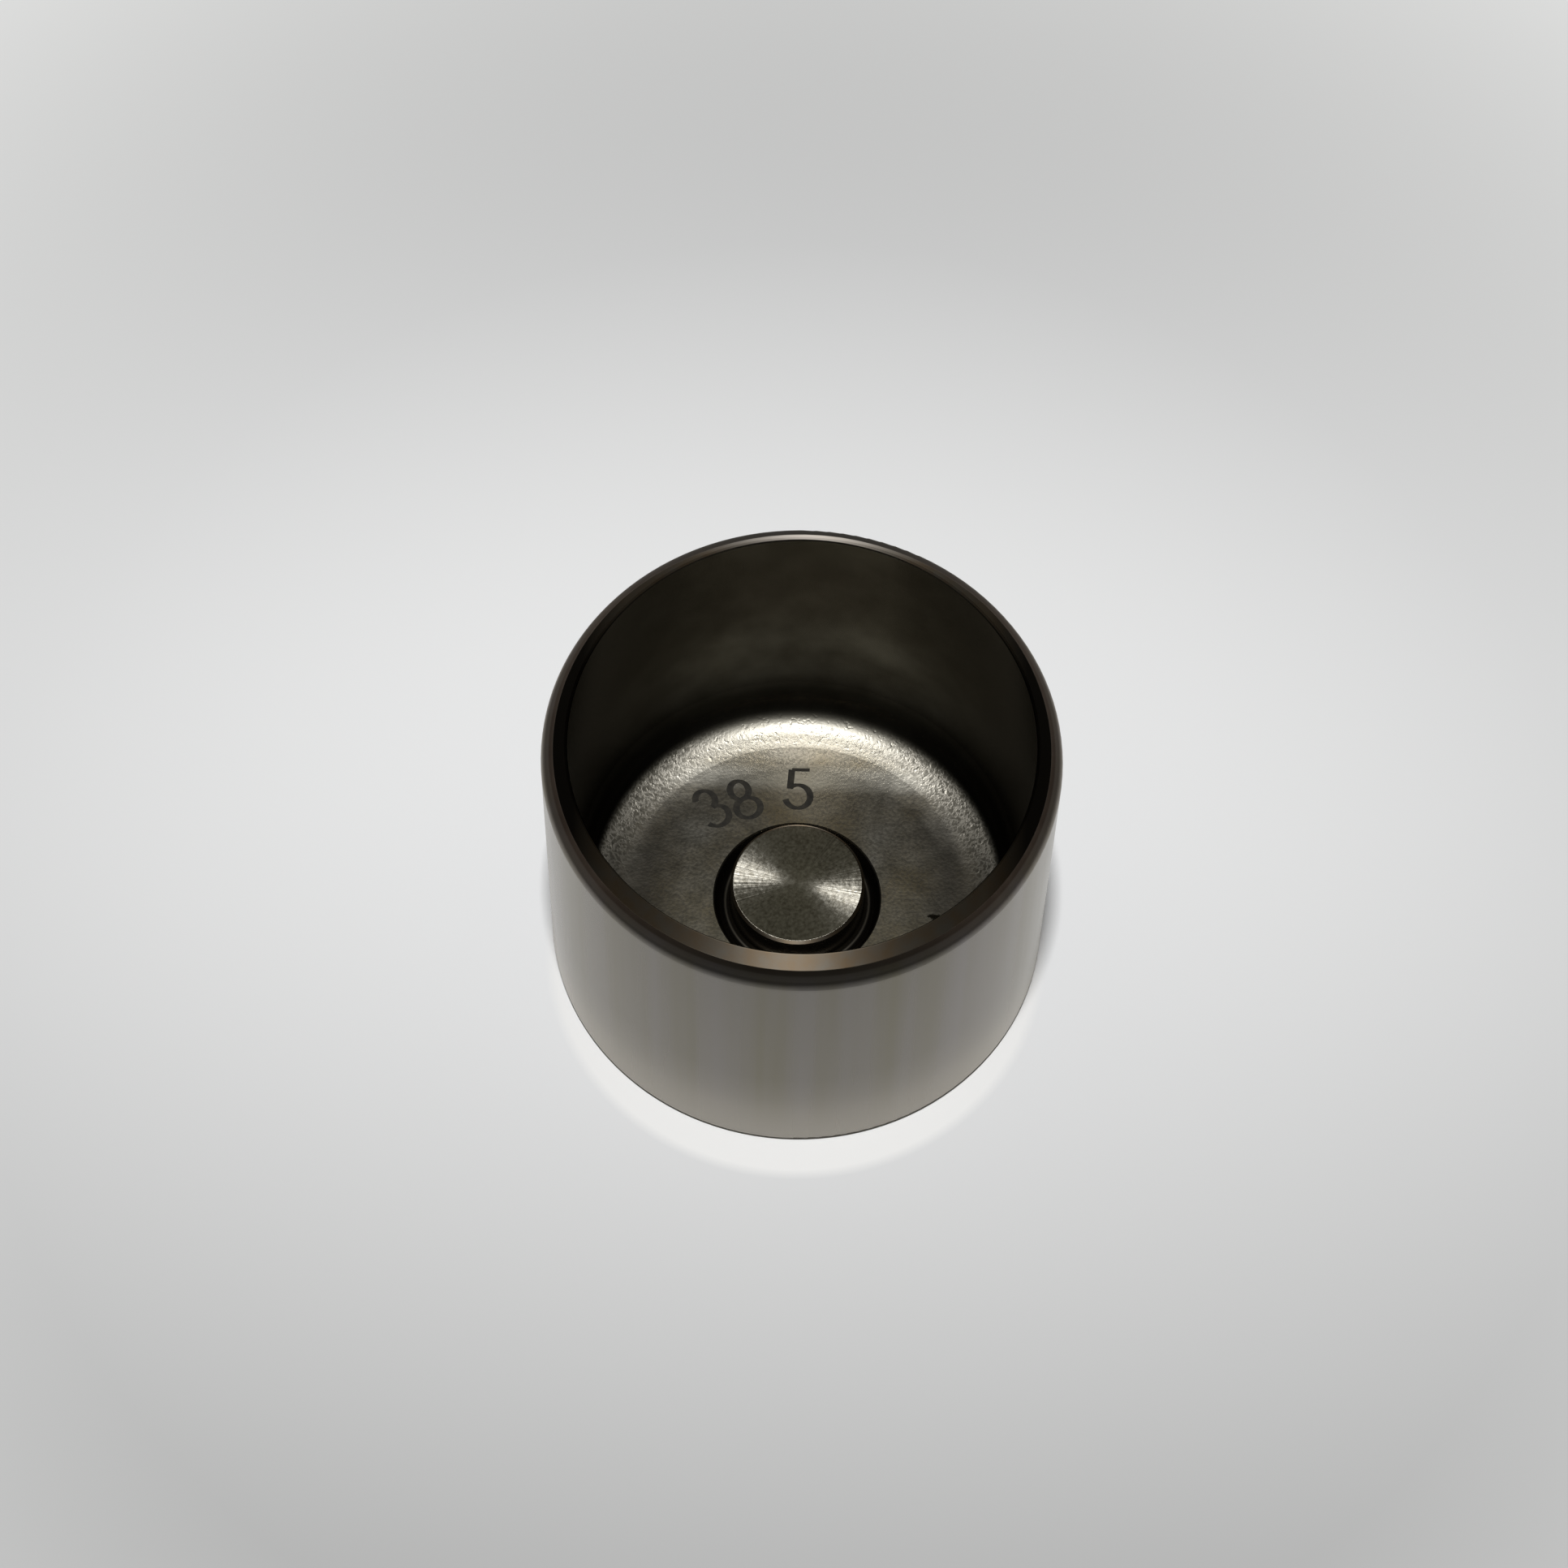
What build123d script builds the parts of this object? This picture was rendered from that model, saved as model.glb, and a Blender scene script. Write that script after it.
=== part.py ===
"""A shimless bucket tappet: the cup that sits between a camshaft lobe and a valve stem.

It is one piece of steel, cold-forged as a cup, turned at the lip and on the inner pad,
and ground on the skirt and on the closed end. It stands on its closed end, open end up.
Millimetres, +Z up along the cup's axis, origin at the centre of the flat closed end.
"""

from build123d import *
from math import cos, radians, sin, tan
import os

# Driving dimensions of the cup
outer_diameter = 28.0
height = 20.9
skirt_thickness = 1.45
crown_thickness = 2.4  # the closed end, between the cam face and the inner floor
floor_corner_radius = 2.8  # inner corner between the floor and the skirt
cam_edge_radius = 0.35  # outer edge of the closed end

# Driving dimensions of the pad that bears on the valve stem
pad_diameter = 7.6
pad_thickness = 4.2  # cam face to pad top, the dimension that sets the valve clearance
pad_edge_break = 0.15
relief_width = 1.0  # the groove turned round the pad, so that its face can be ground clear of the floor
relief_slope = 50.0  # of the groove's outer side, from the floor
relief_bottom_radius = 0.3

# Driving dimensions of the lip at the open end
lip_bevel_angle = 45.0  # slope of the turned bevel that leads the cup into its guide
lip_round = 0.75  # convex round between the ground outer wall and the bevel
lip_edge_break = 0.15  # small inner chamfer, where the bevel meets the inner wall

# Sizes that follow from them
outer_radius = outer_diameter / 2
inner_radius = outer_radius - skirt_thickness
pad_radius = pad_diameter / 2
relief_radius = pad_radius + relief_width
round_sweep = 90.0 - lip_bevel_angle
bevel_outer_radius = outer_radius - lip_round * (1 - cos(radians(round_sweep)))
bevel_inner_radius = inner_radius + lip_edge_break
bevel_drop = (bevel_outer_radius - bevel_inner_radius) * tan(radians(lip_bevel_angle))
round_rise = lip_round * sin(radians(round_sweep))
skirt_top = height - bevel_drop - round_rise  # where the ground outer wall ends


def closed_end_line():
    """The cam face from the axis to the skirt, with its rounded edge."""
    Line((0, 0), (outer_radius - cam_edge_radius, 0))
    CenterArc(
        center=(outer_radius - cam_edge_radius, cam_edge_radius),
        radius=cam_edge_radius,
        start_angle=-90,
        arc_size=90,
    )


def skirt_and_lip_line():
    """Up the ground outer wall, over the round and the bevel, to the inner wall."""
    Line((outer_radius, cam_edge_radius), (outer_radius, skirt_top))
    lead_in = CenterArc(
        center=(outer_radius - lip_round, skirt_top),
        radius=lip_round,
        start_angle=0,
        arc_size=round_sweep,
    )
    Line(lead_in @ 1, (bevel_inner_radius, height))
    Line((bevel_inner_radius, height), (inner_radius, height - lip_edge_break))


def cavity_line():
    """Down the inner wall, round the corner and in across the floor to the pad's relief."""
    corner_top = crown_thickness + floor_corner_radius
    Line((inner_radius, height - lip_edge_break), (inner_radius, corner_top))
    CenterArc(
        center=(inner_radius - floor_corner_radius, corner_top),
        radius=floor_corner_radius,
        start_angle=0,
        arc_size=-90,
    )
    Line(
        (inner_radius - floor_corner_radius, crown_thickness),
        (relief_radius, crown_thickness),
    )


def relief_line():
    """Down the relief's sloping side and round its bottom, to the side of the pad."""
    slope = radians(relief_slope)
    bottom_radius = pad_radius + relief_bottom_radius
    reach = (relief_radius - bottom_radius) * sin(slope)
    bottom_height = crown_thickness - (reach - relief_bottom_radius) / cos(slope)
    bottom = CenterArc(
        center=(bottom_radius, bottom_height),
        radius=relief_bottom_radius,
        start_angle=relief_slope - 90,
        arc_size=-90 - relief_slope,
    )
    Line((relief_radius, crown_thickness), bottom @ 0)
    return bottom @ 1


def pad_line(foot):
    """Up the pad from its foot in the relief, over its chamfer and back to the axis."""
    Polyline(
        foot,
        (pad_radius, pad_thickness - pad_edge_break),
        (pad_radius - pad_edge_break, pad_thickness),
        (0, pad_thickness),
        (0, 0),
    )


def tappet_bucket():
    """The whole cup, as half of its section turned once round the axis."""
    with BuildPart() as cup:
        with BuildSketch(Plane.XZ):
            with BuildLine():
                closed_end_line()
                skirt_and_lip_line()
                cavity_line()
                pad_line(relief_line())
            make_face()
        revolve(axis=Axis.Z)
    return cup.part


os.makedirs("parts", exist_ok=True)
export_step(tappet_bucket(), "parts/tappet_bucket.step")
print(f"outer wall {outer_diameter} mm across, ground from {cam_edge_radius} to {skirt_top:.2f} mm up")
print(f"cavity {2 * inner_radius} mm across, bevel {bevel_inner_radius:.2f} to {bevel_outer_radius:.2f} mm out")
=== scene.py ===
import math

import bmesh
import bpy
from mathutils import Matrix, Vector


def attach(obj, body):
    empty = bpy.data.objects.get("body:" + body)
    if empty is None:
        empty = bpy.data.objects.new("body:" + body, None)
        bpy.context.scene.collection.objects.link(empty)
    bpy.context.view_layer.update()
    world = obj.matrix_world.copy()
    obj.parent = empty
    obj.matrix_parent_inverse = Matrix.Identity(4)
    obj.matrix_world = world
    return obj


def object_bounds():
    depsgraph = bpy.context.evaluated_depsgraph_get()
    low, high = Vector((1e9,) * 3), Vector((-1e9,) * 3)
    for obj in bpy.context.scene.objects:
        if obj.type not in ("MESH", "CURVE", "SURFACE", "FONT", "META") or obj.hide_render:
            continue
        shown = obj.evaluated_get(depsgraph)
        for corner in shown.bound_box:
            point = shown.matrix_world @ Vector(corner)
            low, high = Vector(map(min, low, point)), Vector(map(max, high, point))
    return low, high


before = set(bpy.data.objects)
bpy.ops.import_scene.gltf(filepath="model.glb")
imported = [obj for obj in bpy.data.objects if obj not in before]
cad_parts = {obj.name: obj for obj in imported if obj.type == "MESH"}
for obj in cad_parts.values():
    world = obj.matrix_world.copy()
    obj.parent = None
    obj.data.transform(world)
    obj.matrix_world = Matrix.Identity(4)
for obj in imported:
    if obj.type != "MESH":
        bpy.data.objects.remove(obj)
cadLow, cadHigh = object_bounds()
print("frame loaded")

# The cup's section, in millimetres, as the CAD model has it
cup = {
    "outerRadius": cadHigh.x * 1000,
    "height": cadHigh.z * 1000,
    "innerRadius": 12.55,
    "turnedBandRadius": 13.33,  # the turned band of the bevel lies inside this radius
    "scaleStart": 19.87,  # height on the lip's round where the ground wall gives way to dark scale
    "scaleDrop": 0.35,  # how much lower that lies at the front and the back
    "scaleLean": 0.25,  # and how much lower again at the back, and higher at the front
    "floorHeight": 2.4,
    "cornerStart": 9.9,  # where the floor gives way to its frosted corner
    "cornerTop": 3.05,  # height at which the frosted corner gives way to the smooth wall
    "padRadius": 3.8,
    "padHeight": 4.2,
    "padBreak": 0.15,  # the chamfer of the pad's edge
    "reliefRadius": 4.72,  # the groove turned round the pad, less the break of its edge
}
lineTurn = 0.25  # of a full turn: marks that run round the cup; at 0 they run outwards from its axis


def linearColour(hexText):  # sRGB hex to the linear RGBA that shader sockets take
    channels = [int(hexText[i:i + 2], 16) / 255 for i in (1, 3, 5)]
    return [c / 12.92 if c <= 0.04045 else ((c + 0.055) / 1.055) ** 2.4 for c in channels] + [1]


def addNode(tree, kind, inputs=None, **settings):  # one node with its settings and its links
    node = tree.nodes.new(kind)
    for name, value in settings.items():
        setattr(node, name, value)
    for name, value in (inputs or {}).items():
        if isinstance(value, bpy.types.NodeSocket):
            tree.links.new(value, node.inputs[name])
        else:
            node.inputs[name].default_value = value
    return node


def newMaterial(name):  # an empty material with one Principled shader on its output
    material = bpy.data.materials.new(name)
    material.use_nodes = True
    tree = material.node_tree
    tree.nodes.clear()
    shader = addNode(tree, "ShaderNodeBsdfPrincipled")
    addNode(tree, "ShaderNodeOutputMaterial", {"Surface": shader.outputs["BSDF"]})
    return material, tree, shader


def sumOf(tree, *values, operation="ADD"):
    total = values[0]
    for value in values[1:]:
        total = addNode(tree, "ShaderNodeMath", {0: total, 1: value}, operation=operation).outputs[0]
    return total


def productOf(tree, *values):
    return sumOf(tree, *values, operation="MULTIPLY")


def placeOnCup(tree):  # the shaded point in mm, its radius from the axis, its height, and how far it lies
    # to the back, to either side (beside) and to the front or the back (ends)
    spot = addNode(tree, "ShaderNodeTexCoord").outputs["Object"]
    mm = addNode(tree, "ShaderNodeVectorMath", {0: spot, "Scale": 1000}, operation="SCALE").outputs[0]
    flat = addNode(tree, "ShaderNodeVectorMath", {0: mm, 1: (1, 1, 0)}, operation="MULTIPLY").outputs[0]
    parts = addNode(tree, "ShaderNodeSeparateXYZ", {0: mm}).outputs
    return {
        "mm": mm,
        "flat": flat,
        "radius": addNode(tree, "ShaderNodeVectorMath", {0: flat}, operation="LENGTH").outputs["Value"],
        "height": parts["Z"],
        "back": parts["Y"],
        "beside": addNode(tree, "ShaderNodeMath", {0: parts["X"]}, operation="ABSOLUTE").outputs[0],
        "ends": addNode(tree, "ShaderNodeMath", {0: parts["Y"]}, operation="ABSOLUTE").outputs[0],
    }


def remap(tree, value, low, high, start=0.3, end=0.7, clamp=True):  # one range to another, noise by default
    return addNode(
        tree,
        "ShaderNodeMapRange",
        {"Value": value, "From Min": start, "From Max": end, "To Min": low, "To Max": high},
        clamp=clamp,
    ).outputs["Result"]


def fadeIn(tree, value, start, end):  # 0 at the start, 1 at the end and smooth between them
    return addNode(
        tree,
        "ShaderNodeMapRange",
        {"Value": value, "From Min": start, "From Max": end},
        interpolation_type="SMOOTHSTEP",
    ).outputs["Result"]


def within(tree, value, limits, edge):  # 1 between two limits, or past one where the other is None
    mask = 1
    for limit, half in zip(limits, (edge / 2, -edge / 2)):
        if limit is not None:
            mask = productOf(tree, mask, fadeIn(tree, value, limit - half, limit + half))
    return mask


def sectionMask(tree, place, radii=(None, None), heights=(None, None), edge=0.04, heightEdge=None):
    # 1 where the cup's section lies between these radii and heights, fading over edge mm
    across = within(tree, place["radius"], radii, edge)
    return productOf(tree, across, within(tree, place["height"], heights, heightEdge or edge))


def cloud(tree, place, size, stretch=(1, 1, 1), detail=2):  # soft noise with lumps of size mm, drawn out
    shape = [1 / (size * s) for s in stretch]
    spot = addNode(tree, "ShaderNodeVectorMath", {0: place["mm"], 1: shape}, operation="MULTIPLY").outputs[0]
    return addNode(tree, "ShaderNodeTexNoise", {"Vector": spot, "Scale": 1, "Detail": detail}).outputs[0]


def toolLines(tree, distance, pitch):  # uneven lines pitch mm apart, along one distance
    turns = productOf(tree, distance, 1 / pitch)
    return addNode(
        tree, "ShaderNodeTexNoise", {"W": turns, "Scale": 1, "Detail": 2}, noise_dimensions="1D"
    ).outputs[0]


def heightOf(tree, value, depth):  # noise to a relief of that depth in mm
    return remap(tree, value, 0, depth, 0, 1, clamp=False)


def blendColour(tree, amount, first, second):
    return addNode(
        tree, "ShaderNodeMix", {0: amount, 6: first, 7: second}, data_type="RGBA"
    ).outputs[2]


def tinted(tree, colour, *tints):  # a colour with others over it, each as far as its mask says
    for mask, tint in tints:
        colour = blendColour(tree, mask, colour, linearColour(tint))
    return colour


def mottled(tree, place, size, colours, detail=3):  # two colours in soft patches of size mm
    patches = remap(tree, cloud(tree, place, size, detail=detail), 0, 1)
    return tinted(tree, linearColour(colours[0]), (patches, colours[1]))


finishParts = ("roughness", "relief", "metal", "lay", "turn", "oil")


def finish(colour, roughness, relief, metal=1.0, lay=0.0, turn=lineTurn, oil=0.0):
    return {
        "colour": colour,
        "roughness": roughness,
        "relief": relief,  # mm
        "metal": metal,
        "lay": lay,  # how far the tool marks stretch a highlight
        "turn": turn,  # and which way they run
        "oil": oil,  # weight of the oil film
    }


def layOver(tree, below, above, mask):  # one finish over another, where the mask is 1
    mixed = {"colour": blendColour(tree, mask, below["colour"], above["colour"])}
    for part in finishParts:
        mixed[part] = addNode(
            tree, "ShaderNodeMix", {0: mask, 2: below[part], 3: above[part]}, data_type="FLOAT"
        ).outputs[0]
    return mixed


# Forged floor: pressed flat by the punch, a satin olive grey with a fine grain
floorSkin = {
    "colours": ("#807d75", "#766e5c"),  # plain, and with the faint brown cast of the hardening furnace
    "patch": 3.0,  # mm
    "worn": "#5f5c55",  # the hollows of the grain
    "wornAmount": 0.8,
    "wornGrain": (0.32, 0.6),  # of the noise, from wholly worn to plain
    "beside": "#4b4843",  # painted shade towards the left and the right
    "sideShadeAmount": 0.75,
    "sideShadeReach": (6.2, 8.6),  # mm from the axis to the left or the right
    "back": "#9e9b92",  # painted highlight, paler in a strip at the back
    "paintedLit": (7.0, 8.35),  # mm from the axis towards the back, where that highlight is painted
    "paintedLitEdge": 0.9,
    "grain": 0.2,  # mm; the real grain is finer, and is drawn as coarse as shows
    "grainDepth": 0.008,
    "roughness": (0.27, 0.33),
    "roughPatch": 1.2,  # mm
    "metal": 0.98,
    "oil": 0.1,
}
swell = {
    "rise": (8.1, 10.5),  # mm from the axis: the floor's edge turns up between these radii
    "fall": (11.7, 10.1),  # and back to the corner's true form between these
    "height": 0.138,  # mm
    "lean": (0.09, -0.88),  # mm added to the radius for each mm towards the back, and everywhere
}
fleck = {  # a speck of scale
    "place": (7.95, -1.02, 2.4),
    "size": (0.5, 0.2, 0.3),
    "turn": -21,  # degrees
    "colour": "#17150f",
    "tooth": 0.2,  # mm, of its ragged outline
    "ragged": 0.5,  # of its size
    "edge": (0.7, 1.1),
}


def fleckMask(tree, place):
    moved = addNode(tree, "ShaderNodeVectorMath", {0: place["mm"], 1: fleck["place"]}, operation="SUBTRACT")
    spin = {"Vector": moved.outputs[0], "Angle": math.radians(-fleck["turn"])}
    spun = addNode(tree, "ShaderNodeVectorRotate", spin, rotation_type="Z_AXIS").outputs[0]
    spot = addNode(tree, "ShaderNodeVectorMath", {0: spun, 1: fleck["size"]}, operation="DIVIDE").outputs[0]
    reach = addNode(tree, "ShaderNodeVectorMath", {0: spot}, operation="LENGTH").outputs["Value"]
    teeth = remap(tree, cloud(tree, place, fleck["tooth"]), -fleck["ragged"], fleck["ragged"])
    return remap(tree, sumOf(tree, reach, teeth), 1, 0, *fleck["edge"])


def leaning(tree, place):  # a place whose radius counts for more at the back, where the punch sat deeper
    slope, shift = swell["lean"]
    added = remap(tree, place["back"], shift, slope + shift, 0, 1, clamp=False)
    return dict(place, radius=sumOf(tree, place["radius"], added))


def floorSwell(tree, place):  # the floor turns up a little before its corner
    radius = leaning(tree, place)["radius"]
    form = productOf(tree, fadeIn(tree, radius, *swell["rise"]), fadeIn(tree, radius, *swell["fall"]))
    return heightOf(tree, form, swell["height"])


def floorFinish(tree, place, raised):
    grain = cloud(tree, place, floorSkin["grain"], detail=3)
    worn = remap(tree, grain, floorSkin["wornAmount"], 0, *floorSkin["wornGrain"])
    # painted shade, darker towards the left and the right
    beside = remap(tree, place["beside"], 0, floorSkin["sideShadeAmount"], *floorSkin["sideShadeReach"])
    # painted highlight in a strip at the back
    paintedLit = within(tree, place["back"], floorSkin["paintedLit"], floorSkin["paintedLitEdge"])
    return finish(
        colour=tinted(
            tree,
            mottled(tree, place, floorSkin["patch"], floorSkin["colours"], detail=2),
            (worn, floorSkin["worn"]),
            (beside, floorSkin["beside"]),
            (paintedLit, floorSkin["back"]),
            (fleckMask(tree, place), fleck["colour"]),
        ),
        roughness=remap(tree, cloud(tree, place, floorSkin["roughPatch"]), *floorSkin["roughness"]),
        relief=sumOf(tree, heightOf(tree, grain, floorSkin["grainDepth"]), raised),
        metal=floorSkin["metal"],
        oil=floorSkin["oil"],
    )


# Corner of the floor: the punch's round nose leaves a coarser frosted skin there, with facets that glitter
corner = {
    "colours": ("#8d8a81", "#66635b", "#a29e95"),  # at the back, paler as a painted highlight; and beside, the ground, darker as painted shade, and the veins, pale as painted glints
    "sideShadeReach": (3.0, 8.0),  # mm to the left or the right, from the one to the other
    "vein": 0.32,  # mm; at the left and the right raised veins wind between the facets, their brightness a painted glint
    "veinWidth": 0.11,  # of the noise's range
    "veinDepth": 0.006,
    "grain": 0.2,
    "grainDepth": 0.009,
    "facet": 0.3,
    "facetDepth": 0.014,
    "facetRange": (0.56, 0.78),  # of the noise, which leaves the lower lumps flat
    "roughness": 0.42,
    "metal": 0.89,
}


def veinsOf(tree, place, size, width):  # thin winding lines, where a noise passes its middle
    past = sumOf(tree, cloud(tree, place, size, detail=3), -0.5)
    away = addNode(tree, "ShaderNodeMath", {0: past}, operation="ABSOLUTE").outputs[0]
    return remap(tree, away, 1, 0, 0, width)


def cornerFinish(tree, place, raised):
    facets = remap(tree, cloud(tree, place, corner["facet"]), 0, corner["facetDepth"], *corner["facetRange"])
    # painted highlight at the back, and painted shade with painted glints on the veins at the sides
    beside = remap(tree, place["beside"], 0, 1, *corner["sideShadeReach"])
    veins = veinsOf(tree, place, corner["vein"], corner["veinWidth"])
    plain, ground, vein = (linearColour(c) for c in corner["colours"])
    grain = heightOf(tree, cloud(tree, place, corner["grain"]), corner["grainDepth"])
    veinRise = productOf(tree, heightOf(tree, veins, corner["veinDepth"]), beside)
    return finish(
        colour=blendColour(tree, beside, plain, blendColour(tree, veins, ground, vein)),
        roughness=corner["roughness"],
        relief=sumOf(tree, grain, raised, facets, veinRise),
        metal=corner["metal"],
    )


# Drawn wall: the cup's inside above the floor, ironed smooth and left dark by the furnace; paler low down as
# a painted reflection of the floor, and darker at the sides as painted shade
drawn = {
    "colours": ("#625f56", "#4c4940"),
    "paintedReflectionColours": ("#8b8980", "#6b685f"),
    "paintedReflection": (5.5, 11.5),  # heights in mm between which the wall is paler, as a painted reflection of the floor
    "paintedReflectionEdge": 4.5,
    "sideColour": "#1b1a16",  # painted shade at the left and the right
    "sideReach": (4.5, 12.0),  # mm from the axis to the left or the right
    "wallTopShadeColour": "#0b0a09",  # painted shade, deeper there near the lip
    "wallTopShadeReach": (15.5, 19.5),  # heights
    "patch": 2.6,
    "rings": 0.6,
    "ringDepth": 0.0006,
    "roughness": 0.27,
    "lay": 0.3,
}


def drawnFinish(tree, place):
    dark = mottled(tree, place, drawn["patch"], drawn["colours"], detail=4)
    # a paler copy of the wall's colour, a painted reflection of the floor
    paintedReflection = mottled(tree, place, drawn["patch"], drawn["paintedReflectionColours"], detail=4)
    middle = blendColour(tree, within(tree, place["height"], drawn["paintedReflection"], drawn["paintedReflectionEdge"]), dark, paintedReflection)
    # painted shade at the left and the right, deepest near the lip
    beside = remap(tree, place["beside"], 0, 1, *drawn["sideReach"])
    top = remap(tree, place["height"], 0, 1, *drawn["wallTopShadeReach"])
    side = tinted(tree, linearColour(drawn["sideColour"]), (top, drawn["wallTopShadeColour"]))
    return finish(
        colour=blendColour(tree, beside, middle, side),
        roughness=drawn["roughness"],
        relief=heightOf(tree, toolLines(tree, place["height"], drawn["rings"]), drawn["ringDepth"]),
        lay=drawn["lay"],
    )


# Ground skirt: a wheel takes the wall to size, and leaves fine lines round it and soft streaks up it
skirt = {
    "colours": ("#7e7b7a", "#757162"),
    "paintedLit": "#8f8b84",  # painted reflection of the lit paper, low down near the cam face
    "paintedLitReach": (1.0, 8.0),  # heights, from the painted reflection to plain
    "streak": 2.4,  # mm wide
    "streakStretch": 40,  # times as long, up the wall
    "lines": 0.16,  # mm; grit lines are nearer 0.02 mm
    "lineDepth": 0.0003,
    "roughness": (0.26, 0.29),
    "lay": 0.42,
    "oil": 0.42,
}


def groundFinish(tree, place):
    streaks = cloud(tree, place, skirt["streak"], stretch=(1, 1, skirt["streakStretch"]), detail=3)
    streaked = remap(tree, streaks, 0, 1)
    first, second = skirt["colours"]
    # painted reflection of the lit paper, paler low down
    low = remap(tree, place["height"], 1, 0, *skirt["paintedLitReach"])
    return finish(
        colour=tinted(tree, linearColour(first), (streaked, second), (low, skirt["paintedLit"])),
        roughness=remap(tree, streaks, *skirt["roughness"]),
        relief=heightOf(tree, toolLines(tree, place["height"], skirt["lines"]), skirt["lineDepth"]),
        lay=skirt["lay"],
        oil=skirt["oil"],
    )


# Lip: hardening scale left on the outer half of the bevel and on the round, a dark brown band
scale = {
    "colours": ("#584b42", "#66594f"),
    "dark": "#251e19",  # painted shade at the front and the back
    "endShadeReach": (8.5, 13.2),  # mm from the axis to the front or the back
    "patch": 1.6,
    "grain": 0.3,
    "grainDepth": 0.0006,
    "roughness": 0.5,
    "metal": 0.88,
}


def scaleFinish(tree, place):
    # painted shade at the front and the back
    ends = remap(tree, place["ends"], 0, 1, *scale["endShadeReach"])
    return finish(
        colour=tinted(tree, mottled(tree, place, scale["patch"], scale["colours"]), (ends, scale["dark"])),
        roughness=scale["roughness"],
        relief=heightOf(tree, cloud(tree, place, scale["grain"]), scale["grainDepth"]),
        metal=scale["metal"],
    )


# Turned steel: the lip's inner band and the pad's chamfer carry the fine rings of a facing tool, which
# stay dark but for a short glint where they face a lamp
turned = {
    "colours": ("#5b564e", "#5d5040"),
    "paintedSideShade": "#1f1c19",  # painted shade at the left and the right
    "paintedSideShadeReach": (9.8, 12.0),  # mm from the axis to the left or the right
    "paintedBackHighlight": "#76716b",  # painted highlight at the back
    "paintedBackHighlightReach": (11.3, 12.6),  # mm from the axis towards the back
    "backNarrows": 0.2,  # mm by which the band is narrower there
    "narrowsReach": (9.0, 12.5),
    "patch": 1.1,
    "pitch": 0.2,  # mm between rings; the tool's feed is nearer 0.05 mm
    "depth": 0.0006,
    "roughness": 0.53,
    "lay": 1.0,
    "padEdge": 0.04,  # mm; rounds the inner edge of the pad's chamfer
    "padEdgeWidth": 0.05,
}


def turnedFinish(tree, place):
    plain = mottled(tree, place, turned["patch"], turned["colours"])
    # painted highlight at the back
    paintedBackHighlight = remap(tree, place["back"], 0, 1, *turned["paintedBackHighlightReach"])
    # painted shade at the left and the right
    sideShadeMask = remap(tree, place["beside"], 0, 1, *turned["paintedSideShadeReach"])
    inner = cup["padRadius"] - cup["padBreak"]
    rings = heightOf(tree, toolLines(tree, place["radius"], turned["pitch"]), turned["depth"])
    rounding = remap(tree, place["radius"], 0, turned["padEdge"], inner, inner + turned["padEdgeWidth"])
    return finish(
        colour=tinted(tree, plain, (paintedBackHighlight, turned["paintedBackHighlight"]), (sideShadeMask, turned["paintedSideShade"])),
        roughness=turned["roughness"],
        relief=sumOf(tree, rings, rounding),
        lay=turned["lay"],
    )


# Pad relief: the groove round the pad and the pad's side, turned clean and smooth
padRelief = {"colour": "#57534d", "pitch": 0.3, "depth": 0.0003, "roughness": 0.24}


def reliefFinish(tree, place):
    return finish(
        colour=linearColour(padRelief["colour"]),
        roughness=padRelief["roughness"],
        relief=heightOf(tree, toolLines(tree, place["radius"], padRelief["pitch"]), padRelief["depth"]),
    )


# Pad face: ground to its exact height by a cup wheel, whose marks run outwards from the centre and
# draw each lamp out into two bright fans
padFace = {
    "colours": ("#a09d94", "#736f65"),
    "patch": 0.18,
    "rays": 24,  # noise lumps round the pad
    "rayDepth": 0.007,  # for each mm from the centre
    "grain": 0.16,
    "grainDepth": 0.0045,
    "roughness": (0.2, 0.28),  # near the centre and from there outwards
    "roughReach": (0.5, 2.0),  # mm from the centre, from the one to the other
    "lay": (0.3, 0.88),  # near the centre, where the marks cross, and from there outwards
    "layReach": (0.2, 1.4),
    "twist": (0.025, 0.05),  # of a full turn, because the marks are arcs and wander
    "twistPatch": 0.3,
    "metal": 0.97,
}


def padFinish(tree, place):
    outwards = addNode(tree, "ShaderNodeVectorMath", {0: place["flat"]}, operation="NORMALIZE").outputs[0]
    spokes = {"Vector": outwards, "Scale": padFace["rays"], "Detail": 4}
    rays = heightOf(tree, addNode(tree, "ShaderNodeTexNoise", spokes).outputs[0], padFace["rayDepth"])
    grain = heightOf(tree, cloud(tree, place, padFace["grain"]), padFace["grainDepth"])
    return finish(
        colour=mottled(tree, place, padFace["patch"], padFace["colours"]),
        roughness=remap(tree, place["radius"], *padFace["roughness"], *padFace["roughReach"]),
        relief=sumOf(tree, productOf(tree, rays, place["radius"]), grain),
        metal=padFace["metal"],
        lay=remap(tree, place["radius"], *padFace["lay"], *padFace["layReach"]),
        turn=remap(tree, cloud(tree, place, padFace["twistPatch"]), *padFace["twist"]),
    )


# Cam face: ground flat and superfinished, the brightest surface of the cup
camFace = {
    "colours": ("#a3a09a", "#9a968f"),
    "patch": 2.5,
    "lines": 0.2,
    "lineDepth": 0.0005,
    "roughness": 0.24,
    "lay": 0.6,
    "oil": 0.3,
}


def camFaceFinish(tree, place):
    return finish(
        colour=mottled(tree, place, camFace["patch"], camFace["colours"]),
        roughness=camFace["roughness"],
        relief=heightOf(tree, toolLines(tree, place["radius"], camFace["lines"]), camFace["lineDepth"]),
        lay=camFace["lay"],
        oil=camFace["oil"],
    )


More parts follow.
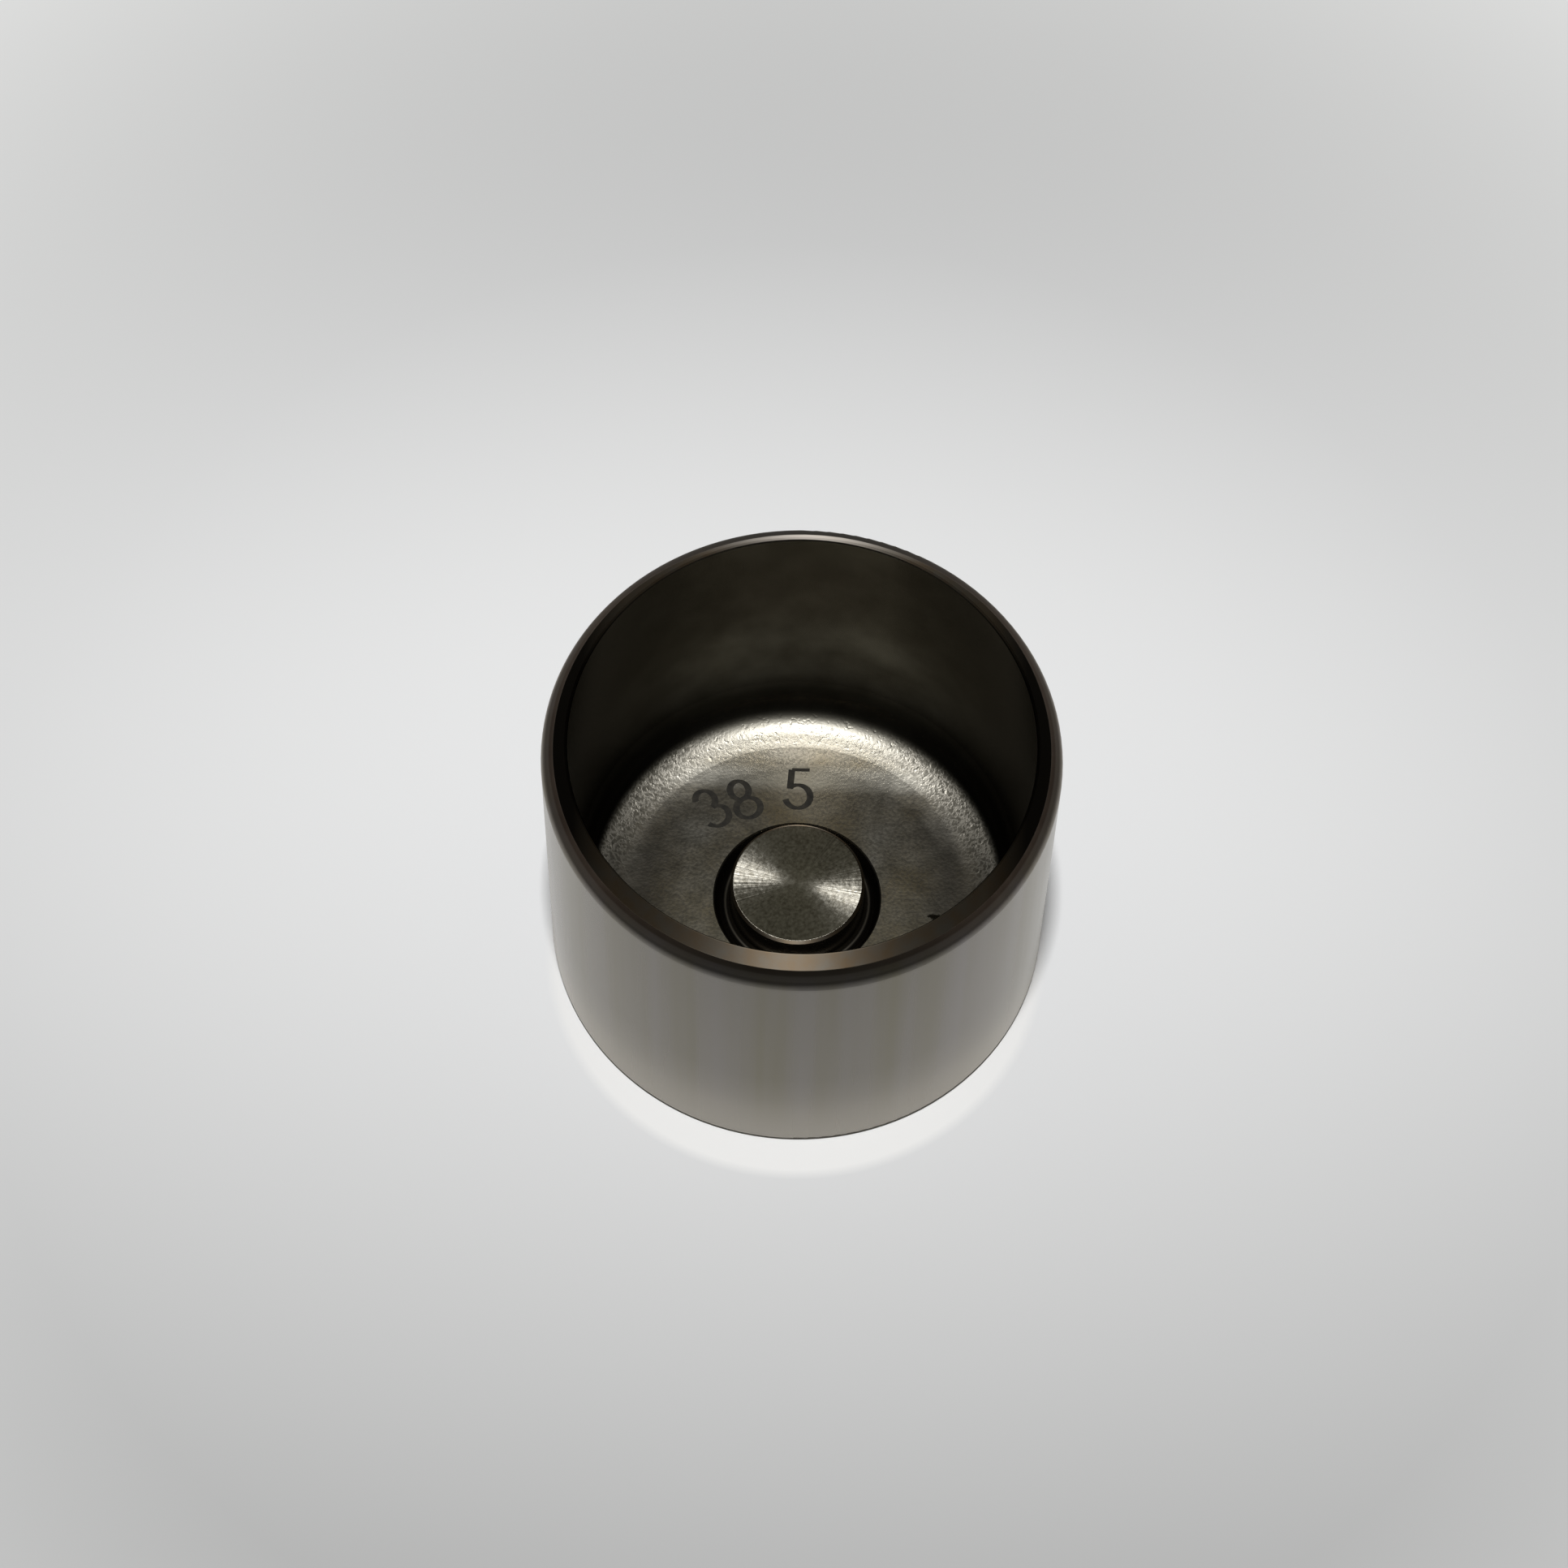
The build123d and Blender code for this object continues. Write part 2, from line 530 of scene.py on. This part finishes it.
# Which part of the section each finish covers, in mm from the axis and above the cam face. The floor's
# finish lies under them all, and each of them over those before it.
insideFrom = 1.0  # the cam face and its edge lie lower
lipFrom = 20.0  # and only the lip lies higher
covers = {
    "corner": {"radii": (cup["cornerStart"], None), "heights": (insideFrom, None), "edge": 2.6},
    "wall": {"radii": (9.0, None), "heights": (cup["cornerTop"], None), "edge": 0.5},
    "skirt": {"radii": (cup["outerRadius"] - 0.45, None), "heights": (0.05, cup["height"]), "edge": 0.1},
    "camFace": {"heights": (None, 0.03)},
    "lipBand": {
        "radii": (cup["innerRadius"] + 0.05, cup["turnedBandRadius"]),  # clear of the wall
        "heights": (lipFrom, None),
    },
    "lipScale": {  # its lower edge is soft
        "radii": (cup["turnedBandRadius"], None),
        "heights": (cup["scaleStart"], None),
        "heightEdge": 1.8,
    },
    "relief": {"radii": (None, cup["reliefRadius"]), "heights": (insideFrom, lipFrom)},
    "padChamfer": {  # and a hair of the pad's side
        "radii": (None, cup["padRadius"] + 0.03),
        "heights": (cup["padHeight"] - cup["padBreak"] - 0.02, lipFrom),
    },
    "padFace": {
        "radii": (None, cup["padRadius"] - cup["padBreak"]),
        "heights": (cup["padHeight"] - 0.1, lipFrom),
    },
}

# A thin film of preserving oil, thickest on the skirt, gives a sharper gloss at a shallow angle
oilFilm = {"Coat Roughness": 0.12, "Coat IOR": 1.47}
grazeTint = "#e4e0d9"  # hardened steel stays duller at a graze than clean metal


def scalePlace(tree, place):  # a place as the scale counts it, which reaches further in and down at the back
    narrowing = remap(tree, place["back"], 0, turned["backNarrows"], *turned["narrowsReach"])
    drop = remap(tree, place["ends"], 0, cup["scaleDrop"], 0, cup["outerRadius"], clamp=False)
    lean = remap(tree, place["back"], 0, cup["scaleLean"], 0, cup["outerRadius"], clamp=False)
    return {
        "radius": sumOf(tree, place["radius"], narrowing),
        "height": sumOf(tree, place["height"], drop, lean),
    }


def hardenedSteel():  # case-hardened steel, each surface with the finish of its last operation
    material, tree, shader = newMaterial("caseHardenedSteel")
    place = placeOnCup(tree)
    raised = floorSwell(tree, place)
    rings = turnedFinish(tree, place)
    skin = floorFinish(tree, place, raised)
    for name, above, spot in (
        ("corner", cornerFinish(tree, place, raised), leaning(tree, place)),
        ("wall", drawnFinish(tree, place), place),
        ("skirt", groundFinish(tree, place), place),
        ("camFace", camFaceFinish(tree, place), place),
        ("lipBand", rings, place),
        ("lipScale", scaleFinish(tree, place), scalePlace(tree, place)),
        ("relief", reliefFinish(tree, place), place),
        ("padChamfer", rings, place),
        ("padFace", padFinish(tree, place), place),
    ):
        skin = layOver(tree, skin, above, sectionMask(tree, spot, **covers[name]))
    bump = addNode(tree, "ShaderNodeBump", {"Height": skin["relief"], "Distance": 0.001})
    tangent = addNode(tree, "ShaderNodeTangent", direction_type="RADIAL", axis="Z")
    for name, value in (
        ("Base Color", skin["colour"]),
        ("Metallic", skin["metal"]),
        ("Roughness", skin["roughness"]),
        ("Anisotropic", skin["lay"]),
        ("Anisotropic Rotation", skin["turn"]),
        ("Coat Weight", skin["oil"]),
        ("Tangent", tangent.outputs[0]),
        ("Normal", bump.outputs[0]),
    ):
        tree.links.new(value, shader.inputs[name])
    for name, value in oilFilm.items():
        shader.inputs[name].default_value = value
    shader.inputs["Specular Tint"].default_value = linearColour(grazeTint)
    return material


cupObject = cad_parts["tappet_bucket"]
cupObject.material_slots[0].material = hardenedSteel()
print("cup finished")

# Grade mark: a plain number etched on the floor beside the pad, in figures drawn as with a broad pen
gradeMark = {
    "places": {"3": (-5.05, 5.6, 36), "8": (-3.25, 6.2, 27), "5": (-0.1, 7.0, 1)},  # mm, and lean in degrees
    "height": 2.5,  # mm, along the middle of the strokes
    "thick": 0.38,
    "thin": 0.2,
    "proud": 0.012,
    "sunk": 0.02,  # into the floor
    "step": 0.0005,  # from stroke to stroke, so that no two share a plane where they cross
    "colours": ("#14120e", "#29261f"),
    "patch": 0.35,
    "roughness": 0.6,
    "shine": 0.2,
}


def arc(centre, radii, start, end, steps=36):  # points of part of an ellipse, between angles in degrees
    angles = [math.radians(start + (end - start) * i / steps) for i in range(steps + 1)]
    return [Vector((centre[0] + radii[0] * math.cos(a), centre[1] + radii[1] * math.sin(a))) for a in angles]


# Strokes of each figure in a box one unit high, with its middle at x = 0
figureStrokes = {
    "3": [arc((-0.03, 0.75), (0.22, 0.25), 160, -80), arc((-0.03, 0.26), (0.28, 0.26), 78, -165)],
    "8": [arc((0, 0.76), (0.21, 0.24), 0, 360), arc((0, 0.26), (0.28, 0.26), 0, 360)],
    "5": [
        [Vector((-0.17, 1.0)), Vector((0.24, 1.0))],
        [Vector((-0.17, 1.0)), Vector((-0.21, 0.5))],
        arc((-0.03, 0.3), (0.29, 0.3), 130, -165),
    ],
}
joined = 0.0001  # ends of a stroke that are nearer than this are one point, and the stroke is closed


def addStroke(mesh, points, top):  # a flat ribbon along the points, broad where it runs up or down
    closed = (points[0] - points[-1]).length < joined
    if closed:
        points = points[:-1]
    bottom = cup["floorHeight"] - gradeMark["sunk"]
    rows = []
    for i, point in enumerate(points):
        before = points[i - 1] if closed or i else point
        after = points[(i + 1) % len(points)] if closed or i + 1 < len(points) else point
        along = (after - before).normalized()
        width = gradeMark["thin"] + (gradeMark["thick"] - gradeMark["thin"]) * abs(along.y)
        side = Vector((-along.y, along.x)) * width / 2
        corners = ((side, top), (-side, top), (-side, bottom), (side, bottom))
        rows.append([mesh.verts.new((point.x + s.x, point.y + s.y, z)) for s, z in corners])
    for first, second in zip(rows, rows[1:] + rows[:1] if closed else rows[1:]):
        for k in range(len(first)):
            mesh.faces.new((first[k], first[k - 1], second[k - 1], second[k]))
    if not closed:
        mesh.faces.new(rows[0])
        mesh.faces.new(rows[-1])


def etchedSteel():  # laser-etched steel: the mark is dull, dark brown oxide, broken by the grain under it
    material, tree, shader = newMaterial("etchedSteel")
    place = placeOnCup(tree)
    shader.inputs["Roughness"].default_value = gradeMark["roughness"]
    shader.inputs["Specular IOR Level"].default_value = gradeMark["shine"]
    oxide = mottled(tree, place, gradeMark["patch"], gradeMark["colours"])
    tree.links.new(oxide, shader.inputs["Base Color"])
    grain = heightOf(tree, cloud(tree, place, floorSkin["grain"]), floorSkin["grainDepth"])
    bump = addNode(tree, "ShaderNodeBump", {"Height": grain, "Distance": 0.001})
    tree.links.new(bump.outputs[0], shader.inputs["Normal"])
    return material


def addGradeMark():
    mesh = bmesh.new()
    top = cup["floorHeight"] + gradeMark["proud"]
    for figure, (x, y, lean) in gradeMark["places"].items():
        turn = Matrix.Rotation(math.radians(lean), 2)
        for stroke in figureStrokes[figure]:
            spots = [turn @ ((p - Vector((0, 0.5))) * gradeMark["height"]) + Vector((x, y)) for p in stroke]
            addStroke(mesh, spots, top)
            top += gradeMark["step"]
    bmesh.ops.recalc_face_normals(mesh, faces=mesh.faces)
    bmesh.ops.scale(mesh, vec=(0.001, 0.001, 0.001), verts=mesh.verts)
    data = bpy.data.meshes.new("grade_mark")
    mesh.to_mesh(data)
    mesh.free()
    data.materials.append(etchedSteel())
    mark = bpy.data.objects.new("grade_mark", data)
    bpy.context.scene.collection.objects.link(mark)
    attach(mark, "root")


addGradeMark()
print("grade mark etched")

# Studio: white paper under the cup, a small soft lamp overhead and a dim room
paper = {
    "size": 0.7,  # metres, as are the other lengths here
    "colour": "#ecedef",
    "shade": "#34332f",  # outside the lamp's pool
    "pool": {"centre": (-0.003, 0.011, 0), "reach": (0.110, 0.056, 1)},
    "glow": {  # lamp light that the ground skirt throws down, up to an edge between two radii
        "colour": "#ebebeb",
        "centre": (0, -0.00205, 0),
        "reach": (0.01375, 0.01435),
    },
    "far": {"colour": "#e6e7e8", "reach": (0.047, 0.085)},  # what the camera sees of it far from the cup
    "roughness": 0.9,
    "shine": 0.2,
}
room = {
    "low": "#121111",  # near the horizon, and higher up where it isn't to the side
    "side": "#716f6a",  # above the horizon to the left and the right
    "sideReach": (0.35, 0.85),  # from the middle to the side, as parts of a direction
    "sideRise": (0.06, 0.28),  # and upwards
    "high": "#6c6a5c",  # overhead
    "highRise": (0.6, 0.9),
    "backdrop": "#b5b6b6",  # what the camera sees beyond the paper
}
lamps = {
    "overhead": {"towards": (-0.01, -0.105, 0.994), "distance": 0.7, "size": (0.05, 0.025), "watts": 4.25},
}


def distanceFrom(tree, spot, centre, reach=(1, 1, 1)):  # from a centre, in parts of its reach each way
    moved = addNode(tree, "ShaderNodeVectorMath", {0: spot, 1: centre}, operation="SUBTRACT").outputs[0]
    scaled = addNode(tree, "ShaderNodeVectorMath", {0: moved, 1: reach}, operation="DIVIDE").outputs[0]
    return addNode(tree, "ShaderNodeVectorMath", {0: scaled}, operation="LENGTH").outputs["Value"]


def paperFloor():
    bpy.ops.mesh.primitive_plane_add(size=paper["size"])
    floor = bpy.context.object
    floor.name = "paper"
    material, tree, shader = newMaterial("whitePaper")
    spot = addNode(tree, "ShaderNodeTexCoord").outputs["Object"]
    pool, glow, far = (paper[part] for part in ("pool", "glow", "far"))
    outOfPool = distanceFrom(tree, spot, pool["centre"], pool["reach"])
    square = productOf(tree, outOfPool, outOfPool)
    over = sumOf(tree, square, 1)
    dim = addNode(tree, "ShaderNodeMath", {0: square, 1: over}, operation="DIVIDE").outputs[0]
    lit = remap(tree, distanceFrom(tree, spot, glow["centre"]), 1, 0, *glow["reach"])
    seen = addNode(tree, "ShaderNodeLightPath").outputs["Is Camera Ray"]
    beyond = productOf(tree, remap(tree, distanceFrom(tree, spot, (0, 0, 0)), 0, 1, *far["reach"]), seen)
    tone = tinted(
        tree,
        linearColour(paper["colour"]),
        (dim, paper["shade"]),
        (lit, glow["colour"]),
        (beyond, far["colour"]),
    )
    tree.links.new(tone, shader.inputs["Base Color"])
    shader.inputs["Roughness"].default_value = paper["roughness"]
    shader.inputs["Specular IOR Level"].default_value = paper["shine"]
    floor.data.materials.append(material)


def addLamp(name, values):
    light = bpy.data.lights.new(name, "AREA")
    light.shape = "RECTANGLE"
    light.size, light.size_y = values["size"]
    light.energy = values["watts"]
    lamp = bpy.data.objects.new(name, light)
    towards = Vector(values["towards"]).normalized()
    lamp.location = towards * values["distance"]
    lamp.rotation_euler = (-towards).to_track_quat("-Z", "Y").to_euler()
    bpy.context.scene.collection.objects.link(lamp)


def roomLight():
    world = bpy.data.worlds.new("room")
    world.use_nodes = True
    tree = world.node_tree
    spot = addNode(tree, "ShaderNodeTexCoord").outputs["Generated"]
    way = addNode(tree, "ShaderNodeSeparateXYZ", {0: spot}).outputs
    across = addNode(tree, "ShaderNodeMath", {0: way["X"]}, operation="ABSOLUTE").outputs[0]
    beside = remap(tree, across, 0, 1, *room["sideReach"])
    side = productOf(tree, beside, remap(tree, way["Z"], 0, 1, *room["sideRise"]))
    overhead = remap(tree, way["Z"], 0, 1, *room["highRise"])
    seen = addNode(tree, "ShaderNodeLightPath").outputs["Is Camera Ray"]
    tone = tinted(
        tree,
        linearColour(room["low"]),
        (side, room["side"]),
        (overhead, room["high"]),
        (seen, room["backdrop"]),
    )
    tree.links.new(tone, tree.nodes["Background"].inputs["Color"])
    bpy.context.scene.world = world


paperFloor()
for lampName, lampValues in lamps.items():
    addLamp(lampName, lampValues)
roomLight()
print("studio lit")

# Camera: about 63 degrees above the paper, as the photograph was taken
cameraPlace = {
    "elevation": 63.45,  # degrees, of the line from the cup's base to the camera
    "distance": 0.2565,
    "aim": (-0.00099, 0.00858, 0),  # where the middle of the picture falls on the paper
    "roll": 1.53,
    "lens": 102.5,
    "clipStart": 0.01,
}


def placeCamera():
    data = bpy.data.cameras.new("camera")
    data.lens = cameraPlace["lens"]
    data.clip_start = cameraPlace["clipStart"]
    camera = bpy.data.objects.new("camera", data)
    rise = math.radians(cameraPlace["elevation"])
    camera.location = Vector((0, -math.cos(rise), math.sin(rise))) * cameraPlace["distance"]
    look = (Vector(cameraPlace["aim"]) - camera.location).to_track_quat("-Z", "Y").to_matrix()
    roll = Matrix.Rotation(math.radians(cameraPlace["roll"]), 3, "Z")
    camera.rotation_euler = (look @ roll).to_euler()
    bpy.context.scene.collection.objects.link(camera)
    bpy.context.scene.camera = camera


placeCamera()
bpy.context.scene.view_settings.view_transform = "Standard"
print("camera placed")
